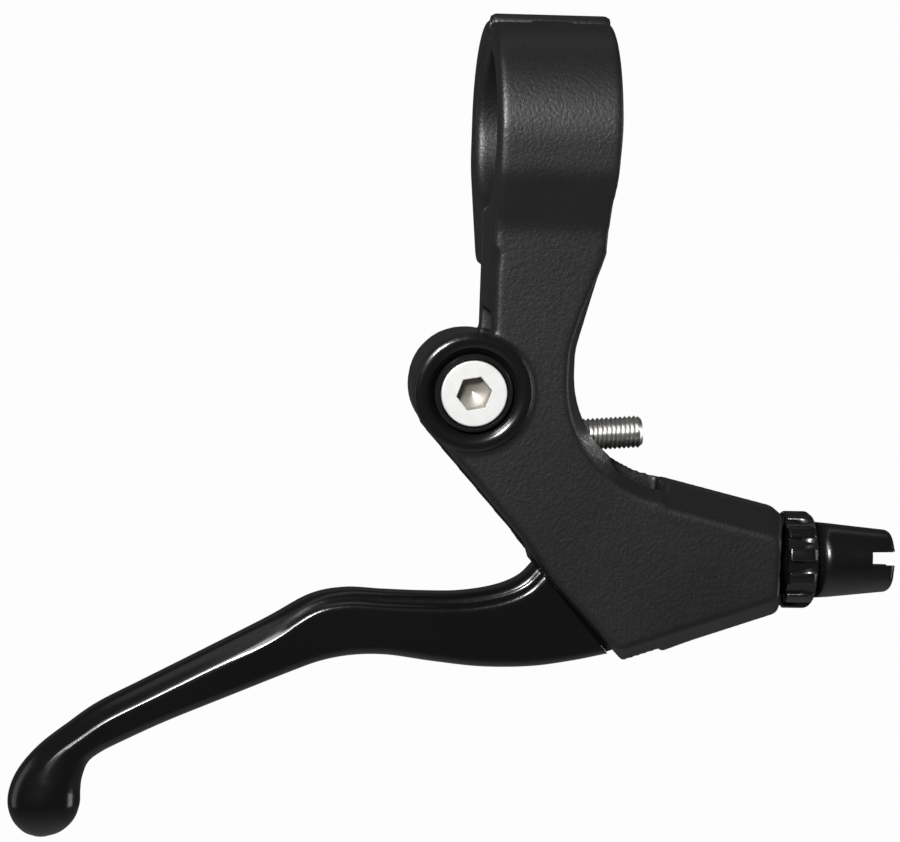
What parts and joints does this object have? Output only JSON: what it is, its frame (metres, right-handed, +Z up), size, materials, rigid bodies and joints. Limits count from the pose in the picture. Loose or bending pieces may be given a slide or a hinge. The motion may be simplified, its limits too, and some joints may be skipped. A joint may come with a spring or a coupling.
{
  "type": "bicycle brake lever",
  "caption": "Bicycle brake lever with a hinged clamp for the handlebar, a pivoted finger blade, a cable adjusting barrel and a reach screw.",
  "frame": {"origin": "centre of the handlebar clamp's bore", "axes": "+X along the bar towards the cable adjuster, +Z up, -Y out of the body's front face"},
  "size_m": [0.1266, 0.0327, 0.1184],
  "materials": {
    "black_painted_body": "satin",
    "black_blade": "gloss",
    "steel": "satin",
    "dark_steel": "satin",
    "bright_metal": "satin",
    "dark_ring": "gloss",
    "brass": "satin",
    "black_plastic": "matte",
    "black_adjuster": "satin"
  },
  "bodies": {
    "body": {"lever_body": "black_painted_body", "clamp_cap": "black_painted_body", "clamp_hinge_pin": "steel", "clamp_bolt": "steel", "clamp_bolt_washer": "steel", "pivot_bolt": "bright_metal", "pivot_cup": "dark_ring", "pivot_nut": "steel"},
    "blade": {"lever_blade": "black_blade", "blade_bushing_front": "black_plastic", "blade_bushing_rear": "black_plastic"},
    "anchor": {"cable_anchor": "brass"},
    "reach": {"reach_screw": "dark_steel"},
    "lockring": {"adjuster_lockring": "black_adjuster"},
    "barrel": {"adjuster_barrel": "black_adjuster"}
  },
  "joints": [
    {"name": "blade_pivot", "type": "hinge", "parent": "body", "child": "blade", "pos_m": [-0.011, -0.0069, -0.0363], "axis": [0, 1, 0], "range_deg": [0, 45]},
    {"name": "anchor_turn", "type": "hinge", "parent": "blade", "child": "anchor", "pos_m": [0.008, -0.0069, -0.0607], "axis": [0, 1, 0], "range_deg": [-45, 0]},
    {"name": "reach_screw_travel", "type": "slide", "parent": "body", "child": "reach", "axis": [0.9972, 0, 0.075], "range_m": [0, 0.004]},
    {"name": "adjuster_travel", "type": "slide", "parent": "body", "child": "lockring", "axis": [1, 0, 0], "range_m": [0, 0.004]},
    {"name": "barrel_turn", "type": "hinge", "parent": "lockring", "child": "barrel", "pos_m": [0.035, -0.0069, -0.0607], "axis": [1, 0, 0], "range_deg": [0, 1440]}
  ],
  "couplings": [
    {"joint": "barrel_turn", "follows": "adjuster_travel", "rad_per_m": 6283.2}
  ]
}
